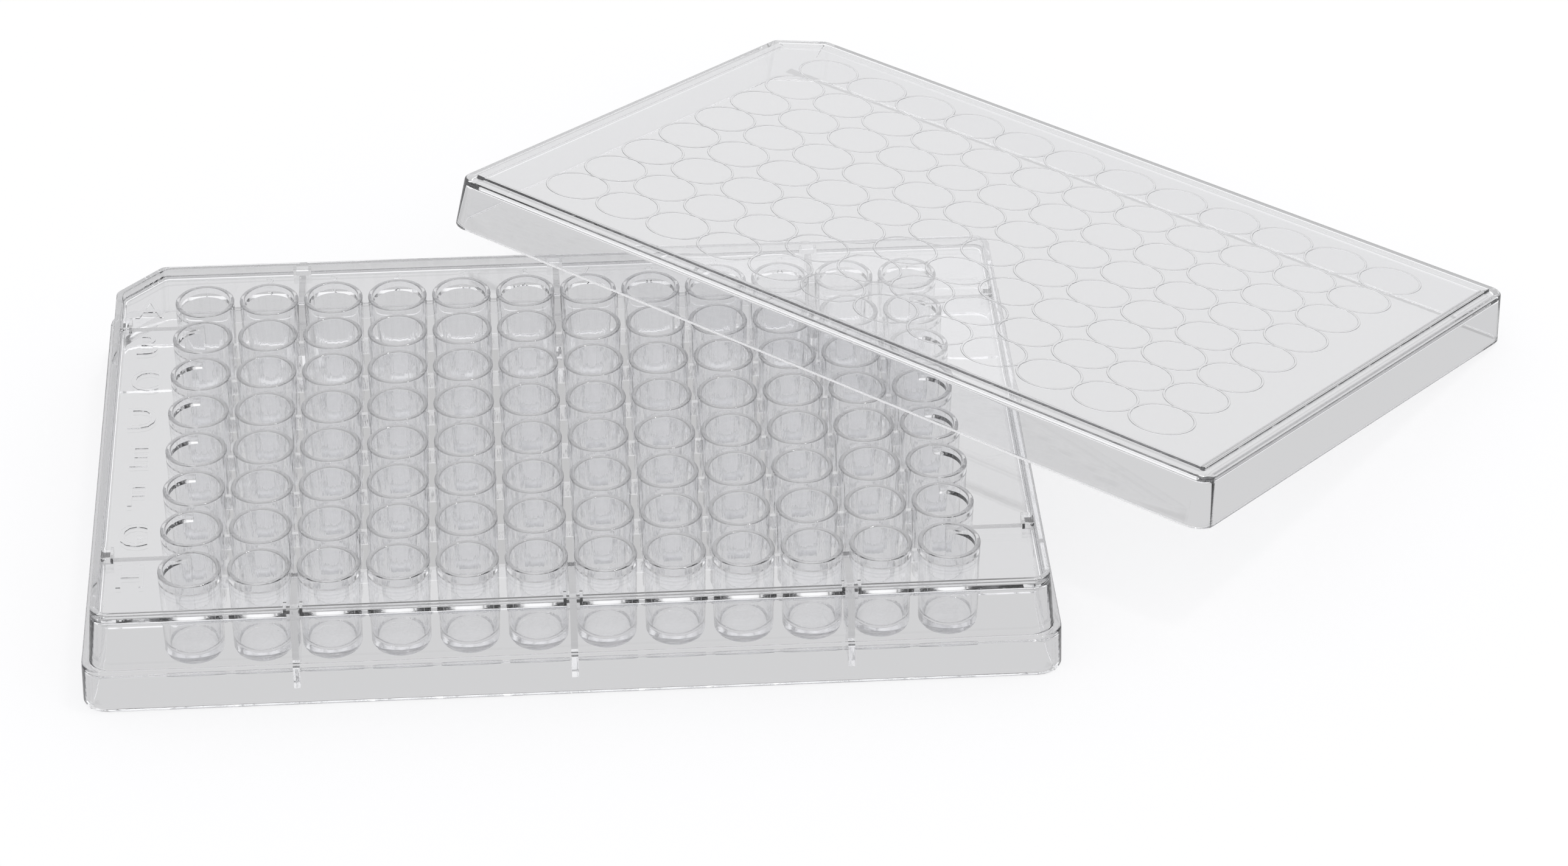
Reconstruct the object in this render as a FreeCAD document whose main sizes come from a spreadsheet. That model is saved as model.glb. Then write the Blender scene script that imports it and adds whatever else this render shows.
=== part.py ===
"""A 96 well plate and its loose lid, as a parametric FreeCAD document.

The frame: millimetres, +Z up, the origin in the middle of the plate's footprint on the table.
+X runs along the columns from 1 to 12 and +Y runs towards row A, at the back.
The plate stands flat on the table. The lid is askew: one long edge of its skirt stands on the
table behind the plate and the opposite long edge lies across the rims of the wells.
"""
import FreeCAD, Part
import Sketcher
import math
import os

Vector = FreeCAD.Vector

# alias, value in millimetres or a count, what it is
SIZES = [
    ("plate_length", 127.76, "footprint along X"),
    ("plate_width", 85.48, "footprint along Y"),
    ("flange_tall", 6.1, "height of the flange that stands on the table"),
    ("flange_draft", 2.0, "lean of the flange's outer face, degrees"),
    ("flange_round", 3.5, "corner radius of the flange"),
    ("flange_wall", 1.25, "thickness of the flange at its foot"),
    ("ledge_thick", 1.1, "thickness of the ledge on top of the flange"),
    ("body_length", 125.4, "upper body along X, where it leaves the ledge"),
    ("body_width", 83.4, "upper body along Y, where it leaves the ledge"),
    ("body_round", 3.0, "corner radius of the upper body"),
    ("body_draft", 5.0, "lean of the upper body's faces, degrees"),
    ("corner_cut", 6.6, "legs of the cut corner beside well A1, at the ledge"),
    ("wall_thick", 1.1, "thickness of the upper body's wall"),
    ("rim_top", 14.35, "height of the well rims above the table"),
    ("lip_top", 14.3, "height of the border around the deck"),
    ("lip_wide", 0.9, "width of the border around the deck"),
    ("deck_top", 13.2, "height of the deck between the rims"),
    ("deck_thick", 0.65, "thickness of the deck"),
    ("pitch", 9.0, "distance between neighbouring wells"),
    ("columns", 12, "wells along X"),
    ("rows", 8, "wells along Y"),
    ("tube_top", 4.13, "outer radius of a well's tube at its rim"),
    ("tube_foot", 3.92, "outer radius of a well's tube at its foot"),
    ("tube_low", 1.75, "height of the underside of the tubes"),
    ("tube_bevel", 0.4, "bevel around the foot of a tube"),
    ("well_top", 3.47, "inner radius of a well at its mouth"),
    ("well_foot", 3.25, "inner radius of a well at its floor"),
    ("well_floor", 2.9, "height of a well's floor"),
    ("web_thick", 0.6, "thickness of the webs between the tubes of a row"),
    ("web_low", 10.6, "height of the webs' lower edge"),
    ("rib_thick", 1.15, "thickness of the ribs between the walls and the outer tubes"),
    ("rib_low", 2.2, "height of the ribs' lower edge"),
    ("rib_step_x", 36.0, "distance between the ribs on the long walls"),
    ("rib_step_y", 27.0, "distance of the end walls' ribs from the middle"),
    ("nub_wide", 2.5, "width of a stop on the deck, along the border"),
    ("nub_deep_x", 1.6, "reach of a stop in from the end borders"),
    ("nub_deep_y", 0.95, "reach of a stop in from the long borders"),
    ("nub_top", 14.1, "height of the top of the stops"),
    ("lid_length", 127.76, "lid's skirt along its own X, at its foot"),
    ("lid_width", 85.48, "lid's skirt along its own Y, at its foot"),
    ("lid_round", 3.0, "corner radius of the lid at its foot"),
    ("lid_cut", 6.4, "legs of the lid's cut corner, at its foot"),
    ("lid_draft", 6.0, "lean of the skirt, degrees"),
    ("lid_wall", 1.1, "thickness of the skirt"),
    ("shoulder_tall", 7.5, "height of the shoulder above the skirt's foot"),
    ("shoulder_wide", 1.75, "width of the shoulder around the raised panel"),
    ("shoulder_thick", 1.2, "thickness of the shoulder"),
    ("panel_tall", 7.95, "height of the panel above the skirt's foot"),
    ("panel_thick", 0.9, "thickness of the panel"),
    ("ring_mid", 4.45, "mean radius of the rings under the panel"),
    ("ring_wide", 0.4, "width of a ring"),
    ("ring_tall", 0.12, "height of a ring"),
    ("lid_x", 60.72, "middle of the skirt's foot, along X"),
    ("lid_y", 40.37, "middle of the skirt's foot, along Y"),
    ("lid_turn", -39.94, "turn of the lid about Z, degrees"),
    ("lid_gap", 0.08, "clearance between the lid and the rims it lies on"),
]

doc = FreeCAD.newDocument("well_plate")
sheet = doc.addObject("Spreadsheet::Sheet", "Sizes")
for row, (alias, value, meaning) in enumerate(SIZES, start=1):
    sheet.set(f"A{row}", meaning)
    sheet.set(f"B{row}", str(value))
    sheet.setAlias(f"B{row}", alias)
doc.recompute()


def number(item, expression):
    """Value of an expression on the sheet, as the document works it out."""
    return float(item.evalExpression(expression))


def new_sketch(body, name, height="0", plane="XY_Plane"):
    """Sketch on one of the body's origin planes, moved along the plane's normal by an expression."""
    sketch = body.newObject("Sketcher::SketchObject", name)
    origin_plane = next(part for part in body.Origin.OriginFeatures if part.Role == plane)
    sketch.AttachmentSupport = [(origin_plane, "")]
    sketch.MapMode = "FlatFace"
    sketch.setExpression("AttachmentOffset.Base.z", height)
    return sketch


def drive(sketch, kind, ends, name, expression):
    """Add a constraint whose value is bound to an expression on the sheet."""
    value = number(sketch, expression)
    index = sketch.addConstraint(Sketcher.Constraint(kind, *ends, value))
    sketch.renameConstraint(index, name)
    sketch.setExpression(f"Constraints.{name}", expression)


def outline(sketch, half_x, half_y, radius, cut=None):
    """Rectangle about the origin with round corners.

    With cut, the corner at -X +Y is cut off at 45 degrees instead, with legs of that length.
    The lines and arcs run anticlockwise from the front edge.
    """
    x, y, r = (number(sketch, item) for item in (half_x, half_y, radius))
    leg = number(sketch, cut) if cut else r

    def line(x1, y1, x2, y2):
        return sketch.addGeometry(Part.LineSegment(Vector(x1, y1, 0), Vector(x2, y2, 0)))

    def arc(x1, y1, quarter):
        start = quarter * math.pi / 2
        circle = Part.Circle(Vector(x1, y1, 0), Vector(0, 0, 1), r)
        return sketch.addGeometry(Part.ArcOfCircle(circle, start, start + math.pi / 2))

    front = line(-x + r, -y, x - r, -y)
    front_right = arc(x - r, -y + r, 3)
    right = line(x, -y + r, x, y - r)
    back_right = arc(x - r, y - r, 0)
    back = line(x - r, y, -x + leg, y)
    back_left = line(-x + leg, y, -x, y - leg) if cut else arc(-x + r, y - r, 1)
    left = line(-x, y - leg, -x, -y + r)
    front_left = arc(-x + r, -y + r, 2)

    loop = [front, front_right, right, back_right, back, back_left, left, front_left]
    for first, second in zip(loop, loop[1:] + loop[:1]):
        join = "Coincident" if cut and back_left in (first, second) else "Tangent"
        sketch.addConstraint(Sketcher.Constraint(join, first, 2, second, 1))
    for edge in (front, back):
        sketch.addConstraint(Sketcher.Constraint("Horizontal", edge))
    for edge in (right, left):
        sketch.addConstraint(Sketcher.Constraint("Vertical", edge))
    for corner in (back_right, front_left) if cut else (back_right, back_left, front_left):
        sketch.addConstraint(Sketcher.Constraint("Equal", front_right, corner))
    drive(sketch, "Radius", (front_right,), "corner", radius)
    drive(sketch, "DistanceX", (-1, 1, right, 1), "to_right", half_x)
    drive(sketch, "DistanceX", (left, 1, -1, 1), "to_left", half_x)
    drive(sketch, "DistanceY", (front, 1, -1, 1), "to_front", half_y)
    drive(sketch, "DistanceY", (-1, 1, back, 1), "to_back", half_y)
    if cut:
        drive(sketch, "DistanceX", (left, 1, back, 2), "cut_x", cut)
        drive(sketch, "DistanceY", (left, 1, back, 2), "cut_y", cut)


def polygon(sketch, name, corners):
    """Closed run of straight lines through corners, each a pair of expressions."""
    points = [Vector(number(sketch, x), number(sketch, y), 0) for x, y in corners]
    pairs = zip(points, points[1:] + points[:1])
    edges = [sketch.addGeometry(Part.LineSegment(start, end)) for start, end in pairs]
    for first, second in zip(edges, edges[1:] + edges[:1]):
        sketch.addConstraint(Sketcher.Constraint("Coincident", first, 2, second, 1))
    for index, (edge, (x, y)) in enumerate(zip(edges, corners)):
        drive(sketch, "DistanceX", (-1, 1, edge, 1), f"{name}_x{index}", x)
        drive(sketch, "DistanceY", (-1, 1, edge, 1), f"{name}_y{index}", y)


def box(sketch, name, low_x, low_y, high_x, high_y):
    """Rectangle between two corners, each side an expression."""
    polygon(sketch, name, [(low_x, low_y), (high_x, low_y), (high_x, high_y), (low_x, high_y)])


def pad(body, name, sketch, length, draft="0"):
    """Add material above a sketch. A positive draft narrows it on the way up."""
    feature = body.newObject("PartDesign::Pad", name)
    feature.Profile = sketch
    feature.setExpression("Length", length)
    feature.setExpression("TaperAngle", f"-({draft})")
    return feature


def pocket(body, name, sketch, length, draft="0", upward=True):
    """Take material away above (or below) a sketch. A positive draft narrows it away from the sketch."""
    feature = body.newObject("PartDesign::Pocket", name)
    feature.Profile = sketch
    feature.Reversed = upward
    feature.setExpression("Length", length)
    feature.setExpression("TaperAngle", f"-({draft})")
    return feature


def grid(body, name, originals):
    """Repeat features over the 12 columns and 8 rows, from the well at -X -Y."""
    axes = {part.Role: part for part in body.Origin.OriginFeatures}
    steps = []
    for role, count in (("X_Axis", "columns"), ("Y_Axis", "rows")):
        step = body.newObject("PartDesign::LinearPattern", f"{name}_{count}")
        step.Direction = (axes[role], [""])
        step.setExpression("Length", f"Sizes.pitch * (Sizes.{count} - 1)")
        step.setExpression("Occurrences", f"Sizes.{count}")
        steps.append(step)
    pattern = body.newObject("PartDesign::MultiTransform", name)
    pattern.Originals = originals
    pattern.Transformations = steps
    body.Tip = pattern
    return pattern


FIRST_X = "-Sizes.pitch * (Sizes.columns - 1) / 2"
FIRST_Y = "-Sizes.pitch * (Sizes.rows - 1) / 2"


def turned(body, name, kind, corners):
    """Turn a profile of (radius, height) corners about the axis of the well at -X -Y."""
    sketch = new_sketch(body, f"{name}_profile", f"-({FIRST_Y})", "XZ_Plane")
    sketch.setExpression("AttachmentOffset.Base.x", FIRST_X)
    polygon(sketch, "corner", corners)
    feature = body.newObject(kind, name)
    feature.Profile = sketch
    feature.ReferenceAxis = (sketch, ["V_Axis"])
    feature.Angle = 360
    return feature


def make_shell(body):
    """Flange, ledge, drafted upper body, hollow underside and sunken deck with its window."""
    sketch = new_sketch(body, "flange_outline")
    outline(sketch, "Sizes.plate_length / 2", "Sizes.plate_width / 2", "Sizes.flange_round")
    pad(body, "flange", sketch, "Sizes.flange_tall", "Sizes.flange_draft")

    sketch = new_sketch(body, "body_outline", "Sizes.flange_tall")
    outline(sketch, "Sizes.body_length / 2", "Sizes.body_width / 2", "Sizes.body_round", "Sizes.corner_cut")
    pad(body, "upper_body", sketch, "Sizes.lip_top - Sizes.flange_tall", "Sizes.body_draft")

    sketch = new_sketch(body, "flange_inside")
    outline(sketch, "Sizes.plate_length / 2 - Sizes.flange_wall", "Sizes.plate_width / 2 - Sizes.flange_wall",
            "Sizes.flange_round - Sizes.flange_wall")
    pocket(body, "flange_hollow", sketch, "Sizes.flange_tall - Sizes.ledge_thick", "Sizes.flange_draft")

    foot = "Sizes.flange_tall - Sizes.ledge_thick"
    sketch = new_sketch(body, "body_inside", foot)
    outline(sketch, "Sizes.body_length / 2 - Sizes.wall_thick", "Sizes.body_width / 2 - Sizes.wall_thick",
            "Sizes.body_round - Sizes.wall_thick / 2", "Sizes.corner_cut - Sizes.wall_thick / 2")
    depth = f"Sizes.deck_top - Sizes.deck_thick - ({foot})"
    pocket(body, "body_hollow", sketch, depth, "Sizes.body_draft")

    sketch = new_sketch(body, "deck_outline", "Sizes.lip_top")
    inset = "Sizes.lip_wide + (Sizes.lip_top - Sizes.flange_tall) * tan(Sizes.body_draft * 1 deg)"
    outline(sketch, f"Sizes.body_length / 2 - ({inset})", f"Sizes.body_width / 2 - ({inset})",
            "Sizes.body_round / 2", "Sizes.corner_cut - Sizes.lip_wide / 2")
    pocket(body, "deck_recess", sketch, "Sizes.lip_top - Sizes.deck_top", upward=False)

    sketch = new_sketch(body, "deck_window_outline", "Sizes.deck_top")
    box(sketch, "window", FIRST_X, FIRST_Y, f"-({FIRST_X})", f"-({FIRST_Y})")
    pocket(body, "deck_window", sketch, "Sizes.deck_thick", upward=False)


def make_webs(body):
    """A thin web along every row, which joins its tubes to each other and to the deck."""
    sketch = new_sketch(body, "row_web_lines", "Sizes.web_low")
    end = f"{FIRST_X} - Sizes.tube_foot / 2"
    for index in range(int(sheet.get("rows"))):
        middle = f"({FIRST_Y} + Sizes.pitch * {index})"
        box(sketch, f"row{index}", end, f"{middle} - Sizes.web_thick / 2",
            f"-({end})", f"{middle} + Sizes.web_thick / 2")
    pad(body, "row_webs", sketch, "Sizes.deck_top - Sizes.deck_thick / 2 - Sizes.web_low")


def wall_boxes(sketch, thick, inner_x, outer_x, inner_y, outer_y):
    """One rectangle at the end of every rib: three on each long wall and two on each end wall.

    Each runs from an inner to an outer distance from the middle of the plate.
    """
    for side, sign in (("front", "-"), ("back", "")):
        low, high = (outer_y, inner_y) if sign else (inner_y, outer_y)
        for index in (-1, 0, 1):
            middle = f"Sizes.rib_step_x * {index}"
            box(sketch, f"{side}{index + 1}", f"{middle} - {thick} / 2", f"{sign}({low})",
                f"{middle} + {thick} / 2", f"{sign}({high})")
    for side, sign in (("left", "-"), ("right", "")):
        low, high = (outer_x, inner_x) if sign else (inner_x, outer_x)
        for index in (-1, 1):
            middle = f"Sizes.rib_step_y * {index}"
            box(sketch, f"{side}{index + 1}", f"{sign}({low})", f"{middle} - {thick} / 2",
                f"{sign}({high})", f"{middle} + {thick} / 2")


def make_ribs(body):
    """Ribs that tie the outer tubes to the walls, with a foot in the flange, and the stops above them."""
    tubes_x = "-({0}) + Sizes.tube_foot - 0.5".format(FIRST_X)
    tubes_y = "-({0}) + Sizes.tube_foot - 0.5".format(FIRST_Y)
    lean = "(Sizes.lip_top - Sizes.flange_tall) * tan(Sizes.body_draft * 1 deg)"
    wall_x = f"Sizes.body_length / 2 - {lean} - Sizes.wall_thick / 2"
    wall_y = f"Sizes.body_width / 2 - {lean} - Sizes.wall_thick / 2"

    sketch = new_sketch(body, "rib_lines", "Sizes.rib_low")
    wall_boxes(sketch, "Sizes.rib_thick", tubes_x, wall_x, tubes_y, wall_y)
    pad(body, "ribs", sketch, "Sizes.deck_top - Sizes.deck_thick / 2 - Sizes.rib_low")

    foot_x = "Sizes.plate_length / 2 - Sizes.flange_wall / 2"
    foot_y = "Sizes.plate_width / 2 - Sizes.flange_wall / 2"
    sketch = new_sketch(body, "rib_foot_lines", "Sizes.rib_low")
    wall_boxes(sketch, "Sizes.rib_thick", tubes_x, foot_x, tubes_y, foot_y)
    pad(body, "rib_feet", sketch, "Sizes.flange_tall - Sizes.ledge_thick / 2 - Sizes.rib_low")

    lip_x = f"Sizes.body_length / 2 - {lean} - Sizes.lip_wide"
    lip_y = f"Sizes.body_width / 2 - {lean} - Sizes.lip_wide"
    sketch = new_sketch(body, "stop_lines", "Sizes.deck_top - Sizes.deck_thick / 2")
    wall_boxes(sketch, "Sizes.nub_wide", f"{lip_x} - Sizes.nub_deep_x", f"{lip_x} + Sizes.lip_wide / 2",
               f"{lip_y} - Sizes.nub_deep_y", f"{lip_y} + Sizes.lip_wide / 2")
    pad(body, "stops", sketch, "Sizes.nub_top - Sizes.deck_top + Sizes.deck_thick / 2")


def make_wells(body):
    """96 drafted tubes that hang from the deck and stand a little above it, each bored out to a well."""
    tube = turned(body, "tube", "PartDesign::Revolution", [
        ("0", "Sizes.tube_low"),
        ("Sizes.tube_foot - Sizes.tube_bevel", "Sizes.tube_low"),
        ("Sizes.tube_foot", "Sizes.tube_low + Sizes.tube_bevel"),
        ("Sizes.tube_top", "Sizes.rim_top"),
        ("0", "Sizes.rim_top"),
    ])
    well = turned(body, "well", "PartDesign::Groove", [
        ("0", "Sizes.well_floor"),
        ("Sizes.well_foot", "Sizes.well_floor"),
        ("Sizes.well_top", "Sizes.rim_top"),
        ("0", "Sizes.rim_top"),
    ])
    grid(body, "wells", [tube, well])


def make_plate():
    """The well plate, moulded in one piece."""
    body = doc.addObject("PartDesign::Body", "well_plate")
    body.Label = "well_plate"
    make_shell(body)
    make_webs(body)
    make_ribs(body)
    make_wells(body)
    return body


def make_lid():
    """The lid in its own frame: the middle of the skirt's foot is at the origin, and its panel is up."""
    body = doc.addObject("PartDesign::Body", "lid")
    body.Label = "lid"
    sketch = new_sketch(body, "skirt_outline")
    outline(sketch, "Sizes.lid_length / 2", "Sizes.lid_width / 2", "Sizes.lid_round", "Sizes.lid_cut")
    pad(body, "skirt", sketch, "Sizes.shoulder_tall", "Sizes.lid_draft")

    lean = "Sizes.shoulder_tall * tan(Sizes.lid_draft * 1 deg)"
    edge = f"{lean} + Sizes.shoulder_wide"
    sketch = new_sketch(body, "panel_outline", "Sizes.shoulder_tall")
    outline(sketch, f"Sizes.lid_length / 2 - ({edge})", f"Sizes.lid_width / 2 - ({edge})",
            "Sizes.lid_round / 2", "Sizes.lid_cut - Sizes.shoulder_wide / 2")
    pad(body, "panel", sketch, "Sizes.panel_tall - Sizes.shoulder_tall")

    sketch = new_sketch(body, "skirt_inside")
    outline(sketch, "Sizes.lid_length / 2 - Sizes.lid_wall", "Sizes.lid_width / 2 - Sizes.lid_wall",
            "Sizes.lid_round - Sizes.lid_wall", "Sizes.lid_cut - Sizes.lid_wall / 2")
    pocket(body, "skirt_hollow", sketch, "Sizes.shoulder_tall - Sizes.shoulder_thick", "Sizes.lid_draft")

    edge = f"{lean} + Sizes.shoulder_wide + Sizes.panel_thick"
    sketch = new_sketch(body, "panel_inside")
    outline(sketch, f"Sizes.lid_length / 2 - ({edge})", f"Sizes.lid_width / 2 - ({edge})",
            "Sizes.lid_round / 2", "Sizes.lid_cut - Sizes.shoulder_wide / 2")
    pocket(body, "panel_hollow", sketch, "Sizes.panel_tall - Sizes.panel_thick")

    low = "Sizes.panel_tall - Sizes.panel_thick - Sizes.ring_tall"
    high = "Sizes.panel_tall - Sizes.panel_thick / 2"
    inner = "Sizes.ring_mid - Sizes.ring_wide / 2"
    outer = "Sizes.ring_mid + Sizes.ring_wide / 2"
    ring = turned(body, "ring", "PartDesign::Revolution",
                  [(inner, low), (outer, low), (outer, high), (inner, high)])
    grid(body, "rings", [ring])
    return body


def lean_lid(body):
    """Stand the lid's long edge at its own +Y on the table and lay the other across the rims.

    The outer foot of the skirt touches the table and the inner foot of the opposite skirt is
    level with the rims. Those two edges are one width less one wall apart, so the lid's tilt has
    sin(tilt) = rim height / (width - wall).
    """
    def size(alias):
        return float(sheet.get(alias))

    tilt = math.asin((size("rim_top") + size("lid_gap")) / (size("lid_width") - size("lid_wall")))
    middle = Vector(size("lid_x"), size("lid_y"), size("lid_width") / 2 * math.sin(tilt))
    turn = FreeCAD.Rotation(Vector(0, 0, 1), size("lid_turn"))
    lean = FreeCAD.Rotation(Vector(1, 0, 0), -math.degrees(tilt))
    body.Placement = FreeCAD.Placement(middle, turn.multiply(lean))
    print(f"lid leans {math.degrees(tilt):.2f} degrees")


plate = make_plate()
lid = make_lid()
doc.recompute()
lean_lid(lid)
doc.recompute()

for item in doc.Objects:
    bad = {"Invalid", "Error"} & set(item.State)
    if bad:
        raise RuntimeError(f"{item.Label} is {bad}")
for item in (plate, lid):
    if item.Shape.isNull() or not item.Shape.isValid() or len(item.Shape.Solids) != 1:
        raise RuntimeError(f"{item.Label} isn't one valid solid")

os.makedirs("parts", exist_ok=True)
for item in (plate, lid):
    item.Shape.exportStep(f"parts/{item.Label}.step")
    bounds = item.Shape.BoundBox
    print(f"{item.Label}: {item.Shape.Volume / 1000:.2f} cm3, faces {len(item.Shape.Faces)}, "
          f"x {bounds.XMin:.2f} to {bounds.XMax:.2f}, y {bounds.YMin:.2f} to {bounds.YMax:.2f}, "
          f"z {bounds.ZMin:.2f} to {bounds.ZMax:.2f}")
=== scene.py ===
# %% [markdown]
# # A clear well plate and its lid
# Both pieces are moulded in clear polystyrene, so everything that shows is an edge, a rim or a
# bend where light changes direction. The lesson builds each piece as one closed skin with its true
# wall thickness, because clear plastic looks right only when light really enters and leaves it.
# Sizes are written in millimetres, and MM turns them into metres where Blender takes them.

# %% Load the frame
import math
from functools import partial

import bmesh
import bpy
import numpy as np
from mathutils import Matrix, Vector


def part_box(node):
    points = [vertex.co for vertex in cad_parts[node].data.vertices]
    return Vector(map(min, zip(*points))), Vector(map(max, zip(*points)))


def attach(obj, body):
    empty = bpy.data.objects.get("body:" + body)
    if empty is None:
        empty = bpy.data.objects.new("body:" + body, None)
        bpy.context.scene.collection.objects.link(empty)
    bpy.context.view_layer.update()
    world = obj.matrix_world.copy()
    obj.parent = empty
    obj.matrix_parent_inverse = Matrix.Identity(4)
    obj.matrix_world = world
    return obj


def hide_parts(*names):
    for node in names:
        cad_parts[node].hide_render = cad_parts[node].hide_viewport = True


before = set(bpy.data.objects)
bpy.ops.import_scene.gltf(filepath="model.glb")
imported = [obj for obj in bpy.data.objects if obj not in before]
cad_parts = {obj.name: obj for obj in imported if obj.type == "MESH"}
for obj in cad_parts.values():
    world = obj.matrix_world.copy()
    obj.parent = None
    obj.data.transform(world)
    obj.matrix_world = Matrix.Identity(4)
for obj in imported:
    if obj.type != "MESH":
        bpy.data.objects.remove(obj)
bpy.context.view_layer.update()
scene = bpy.context.scene
MM = 0.001
print("frame nodes:", sorted(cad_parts))

# %% [markdown]
# ## Camera
# The camera comes first, because it decides which details matter. It looks down at about 35
# degrees from in front, a little to the left of the middle, with a long lens that keeps the plate's
# edges nearly parallel, as for a catalogue.

# %% Camera
CAMERA_PLACE = Vector((-6.80, -522.23, 377.88)) * MM
LOOK_DOWN = math.radians(35.08)
LOOK_RIGHT = math.radians(4.03)
CAMERA_ROLL = math.radians(0.195)

camera_data = bpy.data.cameras.new("camera")
camera_data.sensor_width = 36.0
camera_data.lens = 107.5
camera_data.clip_start = 0.01
camera = bpy.data.objects.new("camera", camera_data)
camera.matrix_world = (
    Matrix.Translation(CAMERA_PLACE)
    @ Matrix.Rotation(-LOOK_RIGHT, 4, "Z")
    @ Matrix.Rotation(math.pi / 2 - LOOK_DOWN, 4, "X")
    @ Matrix.Rotation(CAMERA_ROLL, 4, "Z")
)
scene.collection.objects.link(camera)
scene.camera = camera
print("camera height above the bench:", round(camera.location.z, 3), "m")

# %% [markdown]
# ## Studio
# Clear plastic has no colour of its own, so what it shows is its surroundings. The open floor is
# seen as plain white with a faint shadow. Seen straight down under the plate it is a darker grey,
# a painted shadow of the plate. Through the plastic, or mirrored in it, the floor is a pale grey,
# and darker in a thin strip right under a foot, where little light gets in. Light Path tells those
# two views of the floor apart. The room is bright behind the plate, softer on the left and dark on
# the right, and its dark parts draw the lines along the edges.

# %% Floor
HALF_FLOOR = 3.0   # metres
FLOOR_DROP = 0.02  # the floor lies this far below the feet, so that no two faces share a plane

floor_mesh = bpy.data.meshes.new("floor")
corner = np.array([(-1, -1, 0), (1, -1, 0), (1, 1, 0), (-1, 1, 0)], float) * HALF_FLOOR
floor_mesh.from_pydata(corner.tolist(), [], [(0, 1, 2, 3)])
floor = bpy.data.objects.new("floor", floor_mesh)
floor.location.z = -FLOOR_DROP * MM
scene.collection.objects.link(floor)

floor_paint = bpy.data.materials.new("floor_paint")
floor_paint.use_nodes = True
floor_tree = floor_paint.node_tree
floor_shader = floor_tree.nodes["Principled BSDF"]
floor_shader.inputs["Base Color"].default_value = (0.92, 0.92, 0.925, 1)
floor_shader.inputs["Roughness"].default_value = 0.9
floor_shader.inputs["Specular IOR Level"].default_value = 0.0
floor_mesh.materials.append(floor_paint)


# %% Masks on the floor
def math_out(tree, kind, *values):
    """Output of one arithmetic node. A plain number is set on its socket; an output is linked."""
    node = tree.nodes.new("ShaderNodeMath")
    node.operation = kind
    for socket, value in zip(node.inputs, values):
        if isinstance(value, float):
            socket.default_value = value
        else:
            tree.links.new(value, socket)
    return node.outputs[0]


def floor_strip(across, along, middle, half_wide, half_long):
    """Mask of a straight strip on the floor, with its sizes in millimetres.

    It is 1 where the distance from the strip's middle line is under half its width and the
    distance across is under half its length, and 0 elsewhere.
    """
    off_line = floor_math("ABSOLUTE", floor_math("SUBTRACT", along, middle * MM))
    return floor_math("MULTIPLY", floor_math("LESS_THAN", off_line, half_wide * MM),
                      floor_math("LESS_THAN", floor_math("ABSOLUTE", across), half_long * MM))


floor_math = partial(math_out, floor_tree)
floor_place = floor_tree.nodes.new("ShaderNodeTexCoord")
floor_split = floor_tree.nodes.new("ShaderNodeSeparateXYZ")
floor_tree.links.new(floor_place.outputs["Object"], floor_split.inputs[0])
floor_x, floor_y = floor_split.outputs["X"], floor_split.outputs["Y"]

# %% [markdown]
# The lid lies turned, so the strip under its foot is measured along the lid's own two axes: a place
# on the floor, less the middle of the lid, turned back by the lid's turn.

# %% Strips under the feet
LID_MIDDLE = (60.72, 40.37)      # middle of the lid's foot on the bench
LID_TURN = math.radians(-39.94)  # the lid's turn about the upright axis
STRIP_HALF = 0.7                 # half the width of a dark strip

# Painted shadow of the plate: where the floor lies under the plate and is seen straight down, it is
# painted a darker grey.
plate_shadow_mask = floor_strip(floor_x, floor_y, 0.0, 41.7, 62.8)
front_foot = floor_strip(floor_x, floor_y, -42.1, STRIP_HALF, 63.9)
from_lid = [floor_math("SUBTRACT", axis, place * MM)
            for axis, place in zip((floor_x, floor_y), LID_MIDDLE)]
own_axes = ((math.cos(LID_TURN), math.sin(LID_TURN)), (-math.sin(LID_TURN), math.cos(LID_TURN)))
lid_across, lid_along = [
    floor_math("ADD", floor_math("MULTIPLY", from_lid[0], x_share),
               floor_math("MULTIPLY", from_lid[1], y_share))
    for x_share, y_share in own_axes]
lid_foot = floor_strip(lid_across, lid_along, 41.5, STRIP_HALF, 64.0)

# %% Tones of the floor
SHOW_WHITE = 0.8      # share of plain white in the open floor; the rest keeps the shadow
PLATE_SHADOW_TONE = 0.55     # painted shadow of the plate: grey seen straight down between the tubes, where the deck is open
PLASTIC_TONE = 0.66   # grey seen through the plastic or mirrored in it
FOOT_SHADE = 0.7      # share of that grey lost right under the plate's front foot
LID_FOOT_SHADE = 0.3  # the same under the foot of the lid
BLUE_HINT = 1.01      # blue over red in each tone

floor_path = floor_tree.nodes.new("ShaderNodeLightPath")
straight = floor_path.outputs["Is Camera Ray"]
bent = floor_math("MAXIMUM", floor_path.outputs["Is Glossy Ray"],
                  floor_path.outputs["Is Transmission Ray"])
lit = floor_math("SUBTRACT", 1.0, floor_math("MULTIPLY", front_foot, FOOT_SHADE))
lit = floor_math("SUBTRACT", lit, floor_math("MULTIPLY", lid_foot, LID_FOOT_SHADE))
floor_look = floor_shader.outputs[0]
# The second layer is the painted shadow of the plate on the floor under it.
for mask, tone, strength in ((floor_math("MULTIPLY", straight, SHOW_WHITE), 1.0, None),
                             (floor_math("MULTIPLY", straight, plate_shadow_mask), PLATE_SHADOW_TONE, None),
                             (bent, PLASTIC_TONE, lit)):
    plain = floor_tree.nodes.new("ShaderNodeEmission")
    plain.inputs["Color"].default_value = (tone, tone, tone * BLUE_HINT, 1)
    if strength is not None:
        floor_tree.links.new(strength, plain.inputs["Strength"])
    blend = floor_tree.nodes.new("ShaderNodeMixShader")
    floor_tree.links.new(mask, blend.inputs[0])
    floor_tree.links.new(floor_look, blend.inputs[1])
    floor_tree.links.new(plain.outputs[0], blend.inputs[2])
    floor_look = blend.outputs[0]
floor_tree.links.new(floor_look, floor_tree.nodes["Material Output"].inputs[0])
print("floor nodes:", len(floor_tree.nodes))

# %% World
ROOM_DARK = 0.2  # tone of the room away from its two bright parts

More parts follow.
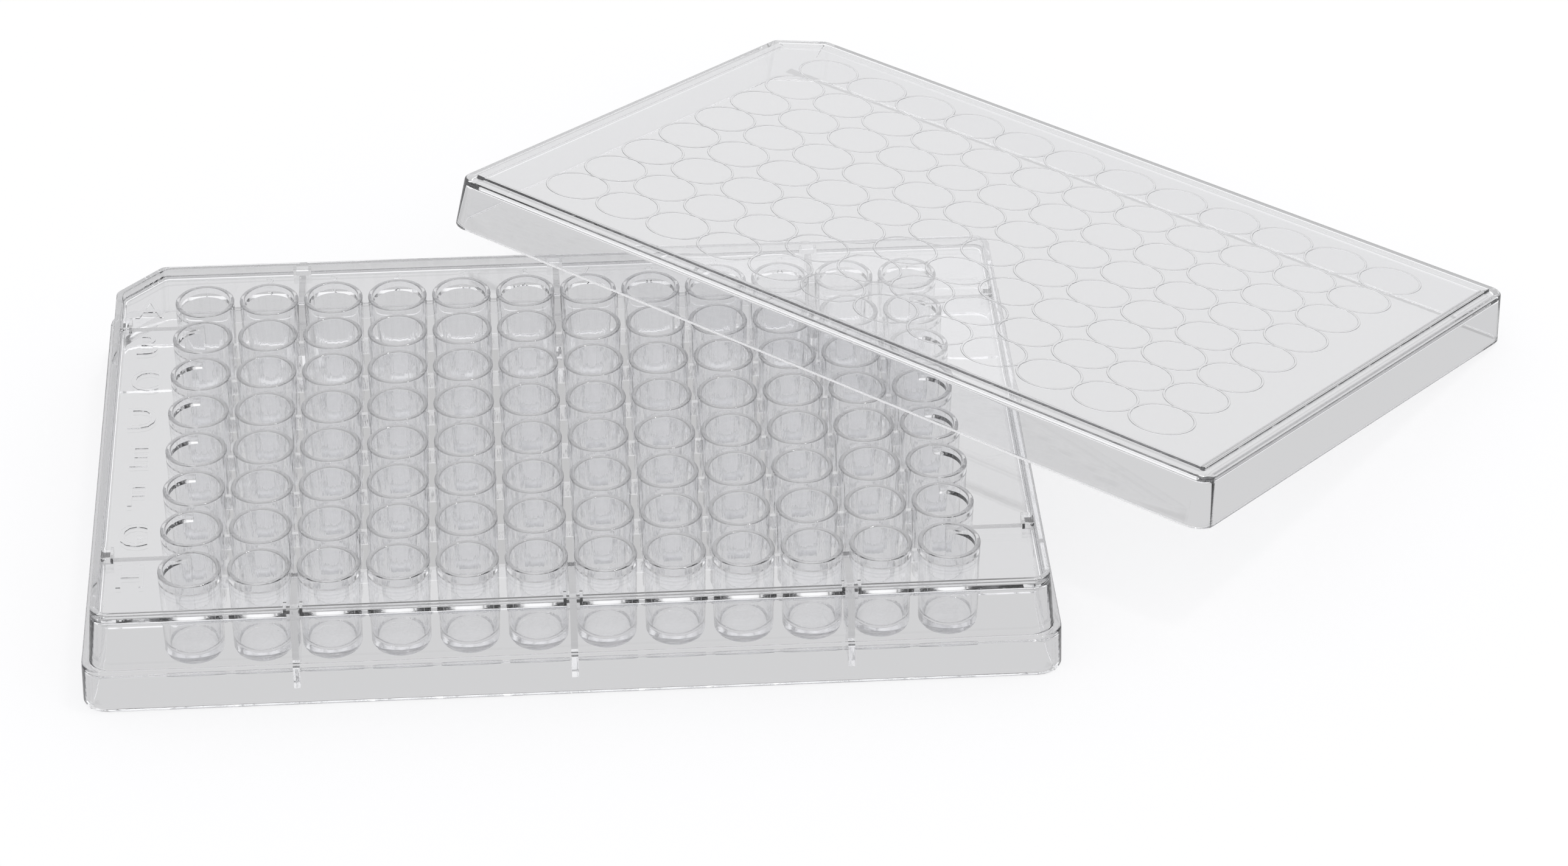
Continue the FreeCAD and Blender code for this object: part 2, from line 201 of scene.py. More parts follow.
world = bpy.data.worlds.new("studio")
scene.world = world
world.use_nodes = True
sky = world.node_tree
sky.nodes.clear()
sky_place = sky.nodes.new("ShaderNodeTexCoord")


def direction(round_from_right, up):
    """Unit vector at an angle round from +X towards +Y and an angle up from level, in degrees."""
    level = math.cos(math.radians(up))
    turn = math.radians(round_from_right)
    return level * math.cos(turn), level * math.sin(turn), math.sin(math.radians(up))


def glow(aim, inner, outer, bright):
    """Tone that is bright within an angle of a direction and eases to dark at a wider angle.

    The cosine of the angle to the direction is mapped, with smooth ends, from the wider angle's
    cosine and ROOM_DARK to the narrower angle's cosine and the bright tone.
    """
    nearness = sky.nodes.new("ShaderNodeVectorMath")
    nearness.operation = "DOT_PRODUCT"
    sky.links.new(sky_place.outputs["Generated"], nearness.inputs[0])
    nearness.inputs[1].default_value = aim
    ramp = sky.nodes.new("ShaderNodeMapRange")
    ramp.interpolation_type = "SMOOTHSTEP"
    sky.links.new(nearness.outputs["Value"], ramp.inputs["Value"])
    ramp.inputs["From Min"].default_value = math.cos(math.radians(outer))
    ramp.inputs["From Max"].default_value = math.cos(math.radians(inner))
    ramp.inputs["To Min"].default_value = ROOM_DARK
    ramp.inputs["To Max"].default_value = bright
    return ramp.outputs["Result"]


# %% Two views of the world
sky_path = sky.nodes.new("ShaderNodeLightPath")
seen = math_out(sky, "MAXIMUM", sky_path.outputs["Is Camera Ray"],
                sky_path.outputs["Is Glossy Ray"])
seen = math_out(sky, "MAXIMUM", seen, sky_path.outputs["Is Transmission Ray"])
behind = glow(direction(80, 38), 34, 66, 1.2)
left = glow(direction(195, 30), 50, 110, 0.85)
sky_seen = sky.nodes.new("ShaderNodeBackground")
sky_seen.inputs["Color"].default_value = (0.99, 0.99, 1.0, 1)
sky.links.new(math_out(sky, "MAXIMUM", behind, left), sky_seen.inputs["Strength"])
sky_light = sky.nodes.new("ShaderNodeBackground")
sky_light.inputs["Color"].default_value = (1.0, 1.0, 1.0, 1)
sky_light.inputs["Strength"].default_value = 1.0
sky_mix = sky.nodes.new("ShaderNodeMixShader")
sky.links.new(seen, sky_mix.inputs[0])
sky.links.new(sky_light.outputs[0], sky_mix.inputs[1])
sky.links.new(sky_seen.outputs[0], sky_mix.inputs[2])
sky_out = sky.nodes.new("ShaderNodeOutputWorld")
sky.links.new(sky_mix.outputs[0], sky_out.inputs[0])

# %% Lamp
LAMP_PLACE = (0.35, 0.05, 1.3)         # metres: above the plate and a little to the right
LAMP_AIM = Vector((0.03, 0.02, 0))     # a place between the plate and the lid
lamp_data = bpy.data.lights.new("overhead", "AREA")
lamp_data.shape = "SQUARE"
lamp_data.size = 0.14
lamp_data.energy = 2.0
lamp = bpy.data.objects.new("overhead", lamp_data)
lamp.location = LAMP_PLACE
lamp.rotation_euler = (LAMP_AIM - Vector(LAMP_PLACE)).to_track_quat("-Z", "Y").to_euler()
scene.collection.objects.link(lamp)
print("studio lit by", lamp.name, "and the world")

# %% [markdown]
# ## Profiles and paths
# A moulding like this is a profile carried along a path. The walls are a profile carried round a
# rectangle with round corners, and a well is a profile turned about an axis. Two helpers make the
# path and the profile, and the ones after them join both into closed skins.

# %% Rounded rectangle
ARC = 7            # points on each corner
CUT_ROUND = 1.2    # radius where a cut corner turns into the sides
LEAST_ROUND = 0.3  # smallest corner radius of an inset rectangle


def rectangle_path(half_x, half_y, radius, cut=0.0):
    """Points of a rectangle with round corners, anticlockwise from the front right corner.

    Each corner is a quarter circle: centre plus radius times (cos a, sin a). With cut, the corner
    at -X +Y is a 45 degree line instead, and each end of that line turns into the side on a small
    arc with half of a corner's points.
    """
    turns = np.linspace(0, math.pi / 2, ARC)
    middles = np.array([(half_x - radius, radius - half_y), (half_x - radius, half_y - radius),
                        (radius - half_x, half_y - radius), (radius - half_x, radius - half_y)])
    starts = np.array([-0.5, 0, 0.5, 1]) * math.pi
    angle = starts[:, None] + turns[None, :]
    corners = middles[:, None, :] + radius * np.stack([np.cos(angle), np.sin(angle)], -1)
    if cut:
        round_off = min(CUT_ROUND, radius)
        reach = round_off * math.tan(math.pi / 8)
        first, second = (ARC + 1) // 2, ARC // 2
        upper = math.pi / 2 + np.linspace(0, math.pi / 4, first)
        lower = math.pi * 3 / 4 + np.linspace(0, math.pi / 4, second)
        top = np.array([-half_x + cut + reach, half_y - round_off])
        side = np.array([-half_x + round_off, half_y - cut - reach])
        corners[2] = np.concatenate([
            top + round_off * np.stack([np.cos(upper), np.sin(upper)], -1),
            side + round_off * np.stack([np.cos(lower), np.sin(lower)], -1)])
    return corners.reshape(-1, 2)


def inset_path(base, inset):
    """The same rectangle moved inwards by a distance: an offset curve.

    Half sizes shrink by the inset, the radius too, and the legs of a 45 degree cut by
    (2 - root 2) times the inset.
    """
    half_x, half_y, radius, cut = base
    leg = cut - (2 - math.sqrt(2)) * inset if cut else 0.0
    return rectangle_path(half_x - inset, half_y - inset, max(radius - inset, LEAST_ROUND), leg)


# %% Profile with round corners
ROUND = 4  # points on each rounded corner of a profile


def rounded(corners):
    """Profile through (across, height, radius) corners, with each corner turned into an arc.

    The arc is part of a circle that touches both lines, so it starts and ends
    radius * tan(turn / 2) from the corner. With a and b the lines from the circle's centre to those
    two ends, the point a share t of the way round is the centre plus
    (sin((1 - t) turn) a + sin(t turn) b) / sin(turn).
    """
    first, last = (np.array(corners[index][:2], float)[None] for index in (0, -1))
    points = [first]
    for before, here, after in zip(corners, corners[1:], corners[2:]):
        corner = np.array(here[:2], float)
        radius = here[2]
        if radius == 0:
            points.append(corner[None])
            continue
        back = np.array(before[:2]) - corner
        ahead = np.array(after[:2]) - corner
        back /= np.linalg.norm(back)
        ahead /= np.linalg.norm(ahead)
        turn = math.pi - math.acos(float(np.clip(back @ ahead, -1, 1)))
        reach = radius * math.tan(turn / 2)
        half = (back + ahead) / np.linalg.norm(back + ahead)
        centre = corner + half * radius / math.cos(turn / 2)
        to_start = corner + back * reach - centre
        to_end = (corner + ahead * reach) - centre
        share = np.linspace(0, 1, ROUND)[:, None]
        arc = np.sin((1 - share) * turn) * to_start + np.sin(share * turn) * to_end
        points.append(centre + arc / math.sin(turn))
    return np.concatenate(points + [last])


# %% Faces between loops of points
def mesh_from(name, points, faces):
    """Mesh with points in millimetres and faces as lists of point numbers."""
    mesh = bpy.data.meshes.new(name)
    mesh.from_pydata((np.asarray(points, float) * MM).tolist(), [], faces)
    mesh.validate()
    return mesh


def strip_faces(loops, count):
    """Quads between successive loops of count points, wrapped round, as arrays of point numbers."""
    loop = np.arange(loops - 1)[:, None] * count
    step = np.arange(count)[None, :]
    ahead = (step + 1) % count
    quads = np.stack([loop + step, loop + ahead, loop + count + ahead, loop + count + step], -1)
    return quads.reshape(-1, 4)


def carried(base, profile):
    """Closed skin of a profile carried round a rectangle: points and faces.

    Row k of the skin is the rectangle inset by the profile's first coordinate, at the height of its
    second. A flat cap closes each end.
    """
    flat = np.stack([inset_path(base, inset) for inset, _ in profile])
    heights = np.array(profile)[:, 1]
    points = np.concatenate(
        [flat, np.broadcast_to(heights[:, None, None], flat.shape[:2] + (1,))], -1)
    count = flat.shape[1]
    faces = strip_faces(len(profile), count).tolist()
    last = (len(profile) - 1) * count
    faces.append(list(range(count))[::-1])
    faces.append(list(range(last, last + count)))
    return points.reshape(-1, 3), faces


# %% Turned skins
def revolved(section, count):
    """Points of a section turned about the upright axis.

    Point j of row k is r_k (cos a_j, sin a_j) at height z_k, with a_j the j-th of count even steps.
    """
    angle = np.arange(count) * 2 * math.pi / count
    around = np.stack([np.cos(angle), np.sin(angle)], -1)
    flat = section[:, None, :1] * around[None]
    heights = np.broadcast_to(section[:, None, 1:], flat.shape[:2] + (1,))
    return np.concatenate([flat, heights], -1).reshape(-1, 3)


def at_centres(one, face_arrays, centres):
    """One skin repeated at several centres, with its faces given as arrays: points and faces."""
    shift = np.zeros((len(centres), 1, 3))
    shift[:, 0, :2] = centres
    each = np.arange(len(centres))[:, None, None] * len(one)
    faces = []
    for array in face_arrays:
        faces += (array[None] + each).reshape(-1, array.shape[1]).tolist()
    return (one[None] + shift).reshape(-1, 3), faces


def turned(profile, centres, count):
    """Closed skins of a profile turned about upright axes at several centres: points and faces.

    The profile starts and ends on the axis, where one point closes the skin with a fan.
    """
    profile = np.asarray(profile, float)
    body = revolved(profile[1:-1], count)
    poles = np.array([(0, 0, profile[0, 1]), (0, 0, profile[-1, 1])])
    step = np.arange(count)
    ahead = (step + 1) % count
    last = len(body) - count
    low = np.stack([ahead, step, np.full(count, len(body))], -1)
    high = np.stack([last + step, last + ahead, np.full(count, len(body) + 1)], -1)
    quads = strip_faces(len(profile) - 2, count)
    return at_centres(np.concatenate([body, poles]), (quads, low, high), centres)


def ringed(section, centres, count):
    """Closed rings of a section turned about upright axes. Its last row joins its first."""
    points = revolved(section, count)
    return at_centres(points, (strip_faces(len(section) + 1, count) % len(points),), centres)


# %% Blocks
def blocks(lows, highs):
    """Upright boxes between pairs of opposite corners: points and faces."""
    lows, highs = np.asarray(lows, float), np.asarray(highs, float)
    pick = np.array([(0, 0, 0), (1, 0, 0), (1, 1, 0), (0, 1, 0),
                     (0, 0, 1), (1, 0, 1), (1, 1, 1), (0, 1, 1)])
    points = lows[:, None] + pick[None] * (highs - lows)[:, None]
    sides = np.array([(3, 2, 1, 0), (4, 5, 6, 7), (0, 1, 5, 4),
                      (1, 2, 6, 5), (2, 3, 7, 6), (3, 0, 4, 7)])
    faces = (sides[None] + np.arange(len(lows))[:, None, None] * len(pick)).reshape(-1, 4)
    return points.reshape(-1, 3), faces.tolist()


def span(x0, x1, y0, y1, z0, z1):
    """Lowest and highest corner of a block."""
    return (min(x0, x1), min(y0, y1), z0), (max(x0, x1), max(y0, y1), z1)


# %% Joining skins
def as_object(name, points_faces):
    """Object holding a skin, linked to the scene so that modifiers can work on it."""
    item = bpy.data.objects.new(name, mesh_from(name, *points_faces))
    scene.collection.objects.link(item)
    return item


def combine(target, tool, how):
    """Join a second skin to the first, or cut it away, and keep one closed skin."""
    modifier = target.modifiers.new("combine", "BOOLEAN")
    modifier.operation = how
    modifier.solver = "MANIFOLD"
    modifier.object = tool
    depsgraph = bpy.context.evaluated_depsgraph_get()
    result = bpy.data.meshes.new_from_object(target.evaluated_get(depsgraph))
    target.modifiers.clear()
    old = target.data
    target.data = result
    bpy.data.meshes.remove(old)
    bpy.data.objects.remove(tool)


def weld(mesh, distance, outwards=False):
    """Join the points of a mesh that are closer than a distance in metres.

    With outwards, the mesh's faces are also turned to look outwards.
    """
    work = bmesh.new()
    work.from_mesh(mesh)
    bmesh.ops.remove_doubles(work, verts=work.verts, dist=distance)
    if outwards:
        bmesh.ops.recalc_face_normals(work, faces=work.faces)
    work.to_mesh(mesh)
    work.free()

# %% [markdown]
# ## The plate's shell
# The plate is one moulding: a flange that stands on the bench, a drafted wall above it, and a deck
# sunk a little below a thin lip. Two skins make the outside and two more are cut away for the
# hollow underneath. The deck is open between the tubes, so a window is cut from the first well's
# axis to the last one's, and then a round hole for each tube.

# %% Sizes of the plate
FLANGE = (63.88, 42.74, 3.5, 0.0)  # half length, half width, corner radius, no cut corner
BODY = (62.70, 41.70, 3.0, 6.6)    # the same for the wall above the ledge, with the cut corner
FLANGE_TALL = 6.1
LEDGE_UNDER = 5.0
RIM_TOP = 14.35
LIP_TOP = 14.3
DECK_TOP = 13.2
DECK_UNDER = 12.55
PITCH = 9.0
TUBE_SIDES = 48
HOLE = 3.8  # radius punched for a tube, inside its wall
PAST = 1.0  # how far a cutting skin runs past what it cuts
FAR = 8     # how far in each profile runs before a flat cap closes its skin

columns = (np.arange(12) - 5.5) * PITCH
rows = (3.5 - np.arange(8)) * PITCH
wells = np.stack(np.meshgrid(columns, rows), -1).reshape(-1, 2)
print("wells:", len(wells))

# %% Shell
flange_profile = rounded([
    (FAR, 0, 0), (0, 0, 0.3), (0.21, FLANGE_TALL, 0.4), (FAR, FLANGE_TALL, 0)])
body_profile = rounded([
    (FAR, 5.6, 0), (-0.5, 5.6, 0), (-0.5, FLANGE_TALL - 0.01, 0), (0, FLANGE_TALL - 0.01, 0.3),
    (0.72, LIP_TOP, 0.25), (1.62, LIP_TOP, 0.2), (1.66, DECK_TOP, 0.3), (FAR, DECK_TOP, 0)])
low_hollow = rounded([
    (FAR, -PAST, 0), (1.2, -PAST, 0), (1.43, LEDGE_UNDER, 0.4), (FAR, LEDGE_UNDER, 0)])
high_hollow = rounded([
    (FAR, 4.5, 0), (1.06, 4.5, 0), (1.73, DECK_UNDER, 0.5), (FAR, DECK_UNDER, 0)])

plate = as_object("well_plate_clear", carried(FLANGE, flange_profile))
combine(plate, as_object("body_skin", carried(BODY, body_profile)), "UNION")
hollow = as_object("hollow_skin", carried(FLANGE, low_hollow))
combine(hollow, as_object("high_hollow_skin", carried(BODY, high_hollow)), "UNION")
combine(plate, hollow, "DIFFERENCE")
print("shell faces:", len(plate.data.polygons))

# %% Open the deck
cut_low, cut_high = DECK_UNDER - PAST, RIM_TOP + PAST
window = blocks([(columns[0], rows[-1], cut_low)], [(columns[-1], rows[0], cut_high)])
combine(plate, as_object("window_skin", window), "DIFFERENCE")
punch = [(0, cut_low), (HOLE, cut_low), (HOLE, cut_high), (0, cut_high)]
combine(plate, as_object("punch_skin", turned(punch, wells, TUBE_SIDES)), "DIFFERENCE")
print("open deck faces:", len(plate.data.polygons))

# %% [markdown]
# ## Wells
# A well is a drafted tube with a flat floor. Its rim stands about a millimetre above the deck. The
# rim's rounded edges are what catch the light, so each has its own small arc in the profile.

# %% Wells
TUBE_FOOT, TUBE_TOP = 3.92, 4.13  # outer radius of a tube at its foot and at its rim
WELL_FOOT, WELL_TOP = 3.25, 3.47  # inner radius at the well's floor and at its mouth
TUBE_LOW, WELL_FLOOR = 1.75, 2.9  # heights of the underside of a tube and of the well's floor

cup = rounded([
    (0, TUBE_LOW, 0), (TUBE_FOOT, TUBE_LOW, 0.6), (TUBE_TOP, RIM_TOP, 0.2),
    (WELL_TOP, RIM_TOP, 0.2), (WELL_FOOT, WELL_FLOOR, 1.1), (0, WELL_FLOOR, 0)])
combine(plate, as_object("cups_skin", turned(cup, wells, TUBE_SIDES)), "UNION")
print("with wells:", len(plate.data.polygons))

# %% [markdown]
# ## Webs, ribs and stops
# A thin web joins each tube to its neighbours in the row. Its lower edge is drawn in to a fifth of
# its thickness, so that it leaves the mould and shows no bright flat edge. Ten ribs tie the outer
# tubes to the walls. Above each rib a small stop on the deck keeps the lid from sliding, hollow
# from below as a moulding's thick places are.

# %% Webs
WEB = 0.6
WEB_LOW, WEB_HIGH = 10.6, 12.88
WEB_EDGE = 0.2                # share of the thickness left at the lower edge
WEB_HALF = PITCH / 2 - 3.75   # a web ends inside the wall of each tube

gaps = np.stack(np.meshgrid(columns[:-1] + PITCH / 2, rows), -1).reshape(-1, 2)
lows = np.column_stack([gaps - (WEB_HALF, WEB / 2), np.full(len(gaps), WEB_LOW)])
highs = np.column_stack([gaps + (WEB_HALF, WEB / 2), np.full(len(gaps), WEB_HIGH)])
web_points, web_faces = blocks(lows, highs)
web_corners = web_points.reshape(-1, 8, 3)
middle = gaps[:, None, 1]
web_corners[:, :4, 1] = middle + WEB_EDGE * (web_corners[:, :4, 1] - middle)
combine(plate, as_object("webs_skin", (web_points, web_faces)), "UNION")
print("with webs:", len(plate.data.polygons))

# %% Ribs and stops
RIB_HALF, STOP_HALF, HOLLOW_HALF = 0.45, 1.25, 0.85  # half thickness along the wall
RIB_LOW, RIB_HIGH = 2.2, DECK_UNDER + 0.3
FOOT_LOW, FOOT_HIGH = 2.21, 5.6      # the rib's part inside the wider flange
FOOT_HALF = RIB_HALF - 0.01          # a hair thinner, so that no two faces share a plane
STOP_LOW, STOP_HIGH = 12.8, 14.1
HOLLOW_LOW, HOLLOW_HIGH = 12.2, 13.75
LONG_WALL = (-36.0, 0.0, 36.0)       # places of the ribs along a long wall
END_WALL = (-27.0, 27.0)             # and along an end wall

# name: half thickness, reach to a long wall, reach to an end wall, lowest, highest, how it joins
RIB_PARTS = {
    "ribs_skin": (RIB_HALF, (31.5, 40.4), (49.5, 61.4), RIB_LOW, RIB_HIGH, "UNION"),
    "feet_skin": (FOOT_HALF, (36, 42.0), (57, 63.1), FOOT_LOW, FOOT_HIGH, "UNION"),
    "stops_skin": (STOP_HALF, (39.1, 40.6), (59.5, 61.6), STOP_LOW, STOP_HIGH, "UNION"),
    "stop_hollows": (HOLLOW_HALF, (39.5, 40.3), (59.9, 61.2), HOLLOW_LOW, HOLLOW_HIGH,
                     "DIFFERENCE"),
}
for name, (half, long_reach, end_reach, low, high, how) in RIB_PARTS.items():
    parts = []
    for side in (-1, 1):
        near, far = (side * reach for reach in long_reach)
        parts += [span(x - half, x + half, near, far, low, high) for x in LONG_WALL]
        near, far = (side * reach for reach in end_reach)
        parts += [span(near, far, y - half, y + half, low, high) for y in END_WALL]
    combine(plate, as_object(name, blocks(*zip(*parts))), how)
print("with ribs and stops:", len(plate.data.polygons))

# %% [markdown]
# ## Letters and numbers
# The rows are lettered A to H on the left of the deck and the columns are numbered along the back.
# They are raised in the moulding, so they show only as fine light and dark outlines.

# %% Raised characters
CAPITAL = 0.729     # height of the font's capitals as a share of its size
NARROW = 0.875      # share of the font's width, as the letters of a mould are narrow
SAME_POINT = 0.001  # points of a font's outline closer than this are one point


def raised(text, centre, tall, height):
    """Upright solid characters centred on the deck, with capitals of a given height.

    The font's own size is the capitals' height over CAPITAL. Half of the solid's height stands
    above the deck and half is sunk in it. All in millimetres.
    """
    curve = bpy.data.curves.new("character", "FONT")
    curve.body = text
    curve.extrude = 0.5
    curve.resolution_u = 3
    item = bpy.data.objects.new("character", curve)
    scene.collection.objects.link(item)
    depsgraph = bpy.context.evaluated_depsgraph_get()
    mesh = bpy.data.meshes.new_from_object(item.evaluated_get(depsgraph))
    bpy.data.objects.remove(item)
    points = np.zeros(len(mesh.vertices) * 3)
    mesh.vertices.foreach_get("co", points)
    points = points.reshape(-1, 3)
    middle = (points.min(0) + points.max(0)) / 2
    size = tall / CAPITAL
    points = (points - middle) * (size * NARROW, size, height) + (*centre, DECK_TOP)
    mesh.vertices.foreach_set("co", (points * MM).ravel())
    weld(mesh, SAME_POINT * MM, outwards=True)
    solid = bpy.data.objects.new("character", mesh)
    scene.collection.objects.link(solid)
    return solid


for letter, y in zip("ABCDEFGH", rows):
    combine(plate, raised(letter, (-57.2, y + 0.3), 5.1, 0.26), "UNION")
for index, x in enumerate(columns):
    combine(plate, raised(str(index + 1), (x, 37.7), 2.2, 0.24), "UNION")
print("with letters:", len(plate.data.polygons))

# %% [markdown]
# ## Lid
# The lid is one carried profile from the underside of its panel, out and down the inside of the
# skirt, round its foot, up the outside and over the shoulder to the raised panel. Rings under the
# panel, one over each well, keep drops from running together.

# %% Lid
LID = (63.88, 42.74, 3.0, 6.4)  # half length, half width, corner radius, legs of the cut corner
LID_WALL = 1.1
PANEL_UNDER, PANEL_TOP = 7.05, 7.95
SHOULDER_UNDER, SHOULDER_TOP = 6.3, 7.5
RING_SIDES = 56

lid_profile = rounded([
    (9, PANEL_UNDER, 0), (3.44, PANEL_UNDER, 0.25), (3.44, SHOULDER_UNDER, 0.25),
    (1.76, SHOULDER_UNDER, 0.35), (LID_WALL, 0, 0.2), (0, 0, 0.25), (0.79, SHOULDER_TOP, 0.4),
    (2.54, SHOULDER_TOP, 0.15), (2.58, PANEL_TOP, 0.2), (9, PANEL_TOP, 0)])
lid = as_object("lid_clear", carried(LID, lid_profile))

ring_section = np.array([
    (4.25, 7.2), (4.27, 7.0), (4.35, 6.97), (4.55, 6.97), (4.63, 7.0), (4.65, 7.2)])
even = (np.indices((len(rows), len(columns))).sum(0) % 2 == 0).ravel()
for group in (wells[even], wells[~even]):  # neighbouring rings touch, so they join in two goes
    combine(lid, as_object("rings_skin", ringed(ring_section, group, RING_SIDES)), "UNION")
print("lid faces:", len(lid.data.polygons))

# %% [markdown]
# ## Where the lid lies
# The lid leans: one long foot stands on the bench behind the plate and the other lies across the
# rims. Those two feet are one width less one wall apart, so the sine of the tilt is the height of
# the rims over that distance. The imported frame's own lid is the check.

# %% Place the lid
LID_GAP = 0.08  # clearance between the lid and the rims it lies on
tilt = math.asin((RIM_TOP + LID_GAP) / (2 * LID[1] - LID_WALL))
lid_place = Vector((*LID_MIDDLE, LID[1] * math.sin(tilt))) * MM
lid.data.transform(Matrix.Translation(lid_place) @ Matrix.Rotation(LID_TURN, 4, "Z")
                   @ Matrix.Rotation(-tilt, 4, "X"))
low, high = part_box("lid")
points = np.zeros(len(lid.data.vertices) * 3)
lid.data.vertices.foreach_get("co", points)
points = points.reshape(-1, 3)
off_frame = float(np.abs(np.array([points.min(0) - low, points.max(0) - high])).max())
print("lid tilt:", round(math.degrees(tilt), 2))
print("off the frame's lid by at most (mm):", round(off_frame / MM, 2))

# %% [markdown]
# ## Clear polystyrene
# Light bends more in polystyrene than in glass of the common kind: its refractive index is 1.59.
# The surface isn't perfect. Slow waves from cooling bend the view through a flat wall a little, and
# fine streaks run along the draw of the mould. On the tubes below their rims the streaks are
# strongest, and break the view into upright lines. Both pieces share that effect, so it is a node
# group.

# %% Moulded surface effect
WAVE_SCALE, WAVE_DETAIL = 60.0, 1.0
STREAK_SCALE, STREAK_DETAIL, STREAK_STRETCH = 1400.0, 3.0, 0.06
WAVE_DEPTH, STREAK_DEPTH, DRAW_DEPTH = 0.002, 0.00005, 0.0002  # metres at full strength
DRAW_FROM, DRAW_FULL = 13.2, 11.8   # heights where the draw streaks start and where they are full
TUBE_FIELD = (("X", 52.0), ("Y", 32.0))  # they end this far from the middle of the plate
FIELD_EASE = 2.0                    # and fade over this distance
HAZE = 0.02                         # roughness at the top of a streak

moulded = bpy.data.node_groups.new("moulded_surface", "ShaderNodeTree")
for label in ("Wave", "Streak", "Draw"):
    moulded.interface.new_socket(label, in_out="INPUT", socket_type="NodeSocketFloat")
moulded.interface.new_socket("Normal", in_out="OUTPUT", socket_type="NodeSocketVector")
moulded.interface.new_socket("Roughness", in_out="OUTPUT", socket_type="NodeSocketFloat")
moulded_in = moulded.nodes.new("NodeGroupInput")
moulded_out = moulded.nodes.new("NodeGroupOutput")
moulded_math = partial(math_out, moulded)
moulded_place = moulded.nodes.new("ShaderNodeTexCoord").outputs["Object"]


def noise(scale, detail, place):
    """Cloudy pattern from 0 to 1 at a place, with scale in clouds for a metre."""
    node = moulded.nodes.new("ShaderNodeTexNoise")
    node.inputs["Scale"].default_value = scale
    node.inputs["Detail"].default_value = detail
    moulded.links.new(place, node.inputs["Vector"])
    return node.outputs["Fac"]


def eased(value, start, full):
    """Mask that rises evenly from 0 at one value in millimetres to 1 at another."""
    node = moulded.nodes.new("ShaderNodeMapRange")
    node.inputs["From Min"].default_value = start * MM
    node.inputs["From Max"].default_value = full * MM
    moulded.links.new(value, node.inputs["Value"])
    return node.outputs["Result"]


def bump(depth, strength, height, normal=None):
    """Normal leaned by the slope of depth times height, by a share that the strength gives."""
    node = moulded.nodes.new("ShaderNodeBump")
    node.inputs["Distance"].default_value = depth
    moulded.links.new(strength, node.inputs["Strength"])
    moulded.links.new(height, node.inputs["Height"])
    if normal is not None:
        moulded.links.new(normal, node.inputs["Normal"])
    return node.outputs["Normal"]


# %% Waves and streaks
stretch = moulded.nodes.new("ShaderNodeMapping")
stretch.inputs["Scale"].default_value = (1, 1, STREAK_STRETCH)
moulded.links.new(moulded_place, stretch.inputs["Vector"])
wave = noise(WAVE_SCALE, WAVE_DETAIL, moulded_place)
streak = noise(STREAK_SCALE, STREAK_DETAIL, stretch.outputs["Vector"])

moulded_split = moulded.nodes.new("ShaderNodeSeparateXYZ")
moulded.links.new(moulded_place, moulded_split.inputs[0])
draw = moulded_in.outputs["Draw"]
for axis, reach in TUBE_FIELD:
    off_middle = moulded_math("ABSOLUTE", moulded_split.outputs[axis])
    draw = moulded_math("MULTIPLY", draw, eased(off_middle, reach, reach - FIELD_EASE))
draw = moulded_math("MULTIPLY", eased(moulded_split.outputs["Z"], DRAW_FROM, DRAW_FULL), draw)

normal = bump(WAVE_DEPTH, moulded_in.outputs["Wave"], wave)
normal = bump(STREAK_DEPTH, moulded_in.outputs["Streak"], streak, normal)
normal = bump(DRAW_DEPTH, draw, streak, normal)
moulded.links.new(normal, moulded_out.inputs["Normal"])
moulded.links.new(moulded_math("MULTIPLY", streak, HAZE), moulded_out.inputs["Roughness"])
print("moulded surface nodes:", len(moulded.nodes))


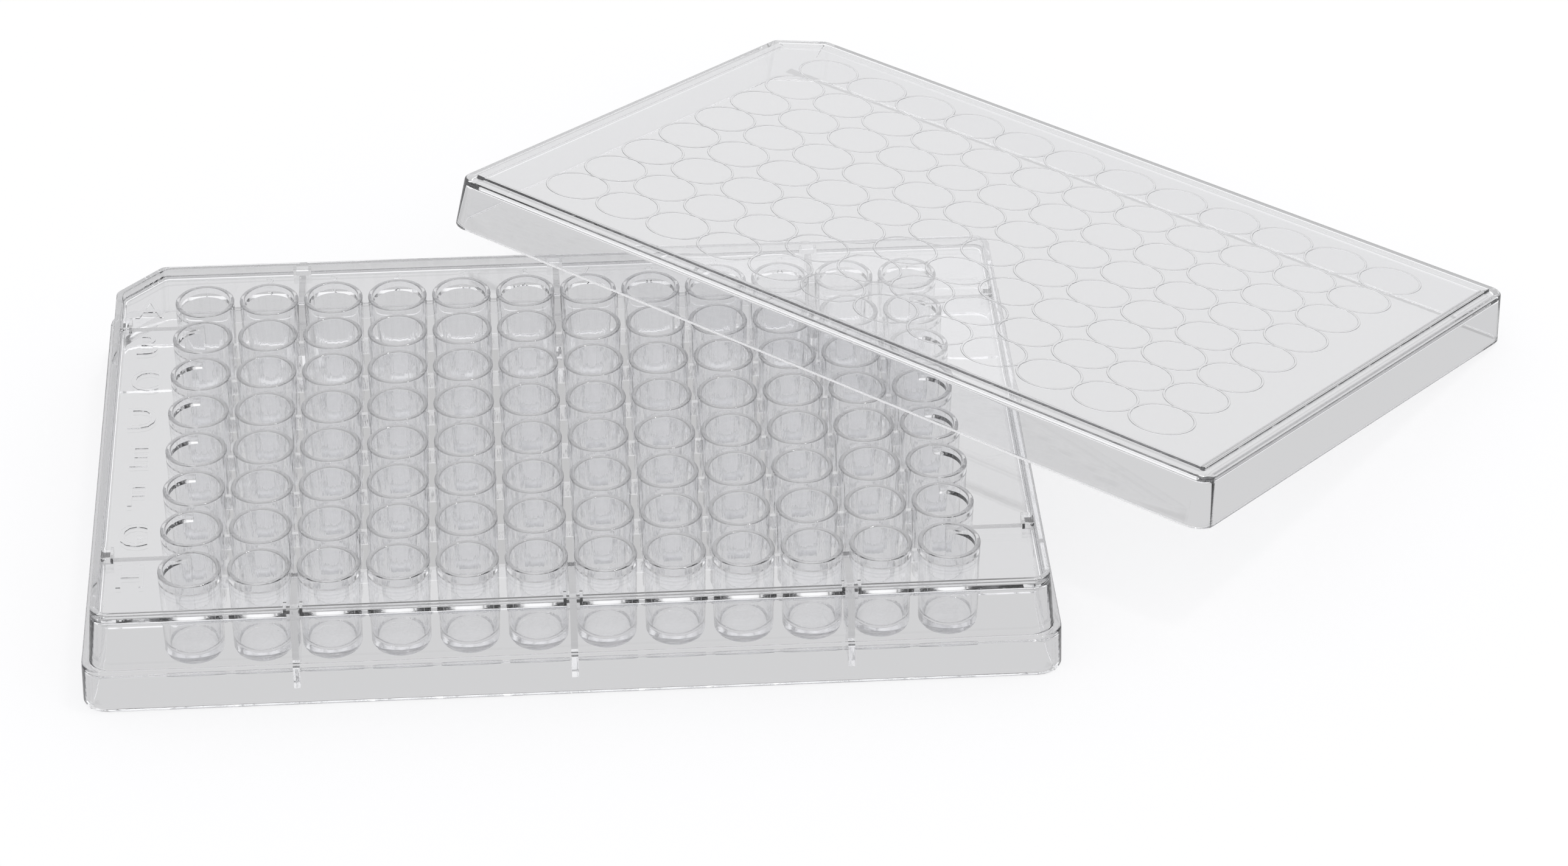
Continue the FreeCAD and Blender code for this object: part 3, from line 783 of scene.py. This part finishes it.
# %% Clear plastic
def clear_plastic(name, smoke, wave_amount, streak_amount, draw_amount):
    """Clear polystyrene: the shared moulded surface, and a grey that deepens with the way through.

    Light keeps exp(-smoke x metres) of itself inside the plastic, so a flat wall stays clear and an
    edge, where light runs a long way along the wall, turns grey.
    """
    material = bpy.data.materials.new(name)
    material.use_nodes = True
    tree = material.node_tree
    shader = tree.nodes["Principled BSDF"]
    shader.inputs["Base Color"].default_value = (0.995, 0.996, 1.0, 1)
    shader.inputs["IOR"].default_value = 1.59
    shader.inputs["Transmission Weight"].default_value = 1.0
    surface = tree.nodes.new("ShaderNodeGroup")
    surface.node_tree = moulded
    surface.inputs["Wave"].default_value = wave_amount
    surface.inputs["Streak"].default_value = streak_amount
    surface.inputs["Draw"].default_value = draw_amount
    tree.links.new(surface.outputs["Normal"], shader.inputs["Normal"])
    tree.links.new(surface.outputs["Roughness"], shader.inputs["Roughness"])
    inside = tree.nodes.new("ShaderNodeVolumeAbsorption")
    inside.inputs["Color"].default_value = (0.0, 0.0, 0.02, 1)
    inside.inputs["Density"].default_value = smoke
    tree.links.new(inside.outputs[0], tree.nodes["Material Output"].inputs["Volume"])
    return material


plate_plastic = clear_plastic(
    "plate_polystyrene", smoke=22.0, wave_amount=0.01, streak_amount=0.03, draw_amount=0.26)
lid_plastic = clear_plastic(
    "lid_polystyrene", smoke=18.0, wave_amount=0.005, streak_amount=0.015, draw_amount=0.0)

# %% [markdown]
# ## Finish
# Joining skins can leave two points in one place, so they are welded. Edges sharper than a limit
# stay crisp, and the faces beside them keep their own flat normals. Light is followed through many
# walls, because in clear plastic every wall behind the first one still shows.

# %% Finish the pieces
WELD = 0.0001                    # millimetres
SHARP_EDGE = math.radians(42)
LIGHT_BOUNCES = 64

for piece, plastic, node, slot in ((plate, plate_plastic, "well_plate", "clear_plate"),
                                   (lid, lid_plastic, "lid", "clear_lid")):
    weld(piece.data, WELD * MM)
    piece.data.materials.clear()
    piece.data.materials.append(plastic)
    piece.data.shade_smooth()
    piece.data.set_sharp_from_angle(angle=SHARP_EDGE)
    weigh = piece.modifiers.new("flat faces keep their normals", "WEIGHTED_NORMAL")
    weigh.keep_sharp = True
    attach(piece, "root")
    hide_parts(node)
    piece.data.calc_loop_triangles()
    print(piece.name, "triangles:", len(piece.data.loop_triangles))

scene.view_settings.view_transform = "Standard"
scene.cycles.max_bounces = LIGHT_BOUNCES
scene.cycles.transmission_bounces = LIGHT_BOUNCES
scene.cycles.glossy_bounces = LIGHT_BOUNCES
